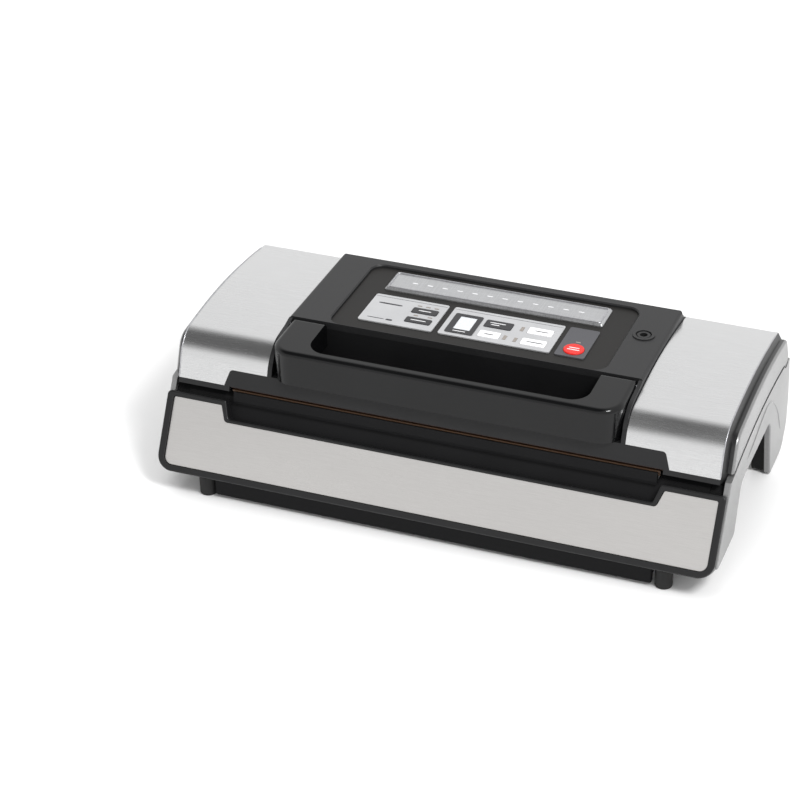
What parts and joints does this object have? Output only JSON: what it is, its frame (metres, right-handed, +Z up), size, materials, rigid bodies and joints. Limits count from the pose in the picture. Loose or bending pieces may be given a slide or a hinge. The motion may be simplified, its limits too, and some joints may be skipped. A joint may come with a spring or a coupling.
{
  "type": "vacuum sealer",
  "caption": "Countertop vacuum bag sealer: leaning steel front with a bag notch, rear-hinged steel and black lid with control hood, press keys and U-shaped handle.",
  "frame": {"origin": "on the resting surface, under the middle of the body's bounding box", "axes": "+X to the user's right along the body, -Y towards the user, +Z up"},
  "size_m": [0.386, 0.2001, 0.1086],
  "materials": {
    "brushed_steel": "brushed",
    "silver_plastic": "satin metallic",
    "black_plastic": "fine texture",
    "satin_black": "satin",
    "black_rubber": "matte",
    "foam_gasket": "foam",
    "silicone": "matte",
    "chamber_plastic": "satin",
    "ptfe_tape": "woven coated tape",
    "aluminium_bar": "extruded",
    "steel_hardware": "zinc plated",
    "copper_coil": "enamelled",
    "circuit_board": "solder mask",
    "clear_hose": "soft",
    "silver_print": "printed film",
    "grey_print": "printed film",
    "dark_key": "satin",
    "white_key": "satin",
    "red_key": "gloss",
    "display_glass": "clear over pale display",
    "light_pipe": "translucent"
  },
  "bodies": {
    "base": {"base_shell": "black_plastic", "bottom_cover": "black_plastic", "bottom_screws": "steel_hardware", "front_frame": "satin_black", "base_steel_panel": "brushed_steel", "base_cheek_right": "silver_plastic", "base_cheek_left": "silver_plastic", "side_frame_right": "black_plastic", "side_frame_left": "black_plastic", "rear_pads": "black_rubber", "front_feet": "black_rubber", "vacuum_chamber": "chamber_plastic", "lower_gasket": "foam_gasket", "heating_bar": "aluminium_bar", "ptfe_strip": "ptfe_tape", "latch_catches": "steel_hardware", "motor_can": "steel_hardware", "pump_housing": "aluminium_bar", "air_hose": "clear_hose", "hose_elbow": "chamber_plastic", "transformer_core": "steel_hardware", "transformer_coil": "copper_coil", "power_board": "circuit_board", "power_inlet": "chamber_plastic", "hinge_pins": "steel_hardware", "hinge_brackets": "steel_hardware"},
    "pump_rotor": {"motor_rotor": "steel_hardware", "pump_crank": "steel_hardware"},
    "lid": {"lid_frame": "black_plastic", "lid_tray": "black_plastic", "lid_screws": "steel_hardware", "lid_steel_right": "brushed_steel", "lid_steel_left": "brushed_steel", "lid_cheek_right": "silver_plastic", "lid_cheek_left": "silver_plastic", "upper_gasket": "foam_gasket", "pressure_rubber": "silicone", "hood": "satin_black", "handle_pins": "steel_hardware", "control_overlay": "satin_black", "mode_plate": "silver_print", "key_plate": "silver_print", "stop_plate": "grey_print", "display_bezel": "dark_key", "display_window": "display_glass", "indicator_lights": "light_pipe", "name_strip": "silver_print", "key_mat": "silicone", "control_board": "circuit_board", "hose_port": "satin_black"},
    "handle": {"handle": "satin_black"},
    "latch": {"latch_shaft": "steel_hardware", "latch_hooks": "steel_hardware"},
    "mode_key": {"mode_key": "dark_key"},
    "food_key": {"food_key": "dark_key"},
    "pulse_key": {"pulse_key": "dark_key"},
    "seal_key": {"seal_key": "white_key"},
    "canister_key": {"canister_key": "white_key"},
    "marinate_key": {"marinate_key": "white_key"},
    "stop_key": {"stop_key": "red_key"}
  },
  "joints": [
    {"name": "lid_hinge", "type": "hinge", "parent": "base", "child": "lid", "pos_m": [0, 0.0845, 0.076], "axis": [-1, 0, 0], "range_deg": [0, 65]},
    {"name": "handle_lift", "type": "hinge", "parent": "lid", "child": "handle", "pos_m": [0, -0.0288, 0.1046], "axis": [-1, 0, 0], "range_deg": [0, 30], "stiffness_Nm_per_rad": 0.15},
    {"name": "latch_turn", "type": "hinge", "parent": "lid", "child": "latch", "pos_m": [0, -0.052, 0.0777], "axis": [-1, 0, 0], "range_deg": [0, 12]},
    {"name": "pump_spin", "type": "hinge", "parent": "base", "child": "pump_rotor", "pos_m": [0.052, 0.034, 0.031], "axis": [1, 0, 0], "continuous": true},
    {"name": "mode_key_press", "type": "slide", "parent": "lid", "child": "mode_key", "axis": [0, -0.0314, -0.9995], "range_m": [0, 0.0005], "stiffness_N_per_m": 600},
    {"name": "food_key_press", "type": "slide", "parent": "lid", "child": "food_key", "axis": [0, -0.0314, -0.9995], "range_m": [0, 0.0005], "stiffness_N_per_m": 600},
    {"name": "pulse_key_press", "type": "slide", "parent": "lid", "child": "pulse_key", "axis": [0, -0.0314, -0.9995], "range_m": [0, 0.0005], "stiffness_N_per_m": 600},
    {"name": "seal_key_press", "type": "slide", "parent": "lid", "child": "seal_key", "axis": [0, -0.0314, -0.9995], "range_m": [0, 0.0005], "stiffness_N_per_m": 600},
    {"name": "canister_key_press", "type": "slide", "parent": "lid", "child": "canister_key", "axis": [0, -0.0314, -0.9995], "range_m": [0, 0.0005], "stiffness_N_per_m": 600},
    {"name": "marinate_key_press", "type": "slide", "parent": "lid", "child": "marinate_key", "axis": [0, -0.0314, -0.9995], "range_m": [0, 0.0005], "stiffness_N_per_m": 600},
    {"name": "stop_key_press", "type": "slide", "parent": "lid", "child": "stop_key", "axis": [0, -0.0314, -0.9995], "range_m": [0, 0.0005], "stiffness_N_per_m": 600}
  ],
  "couplings": [
    {"joint": "latch_turn", "follows": "handle_lift", "ratio": 0.4}
  ]
}
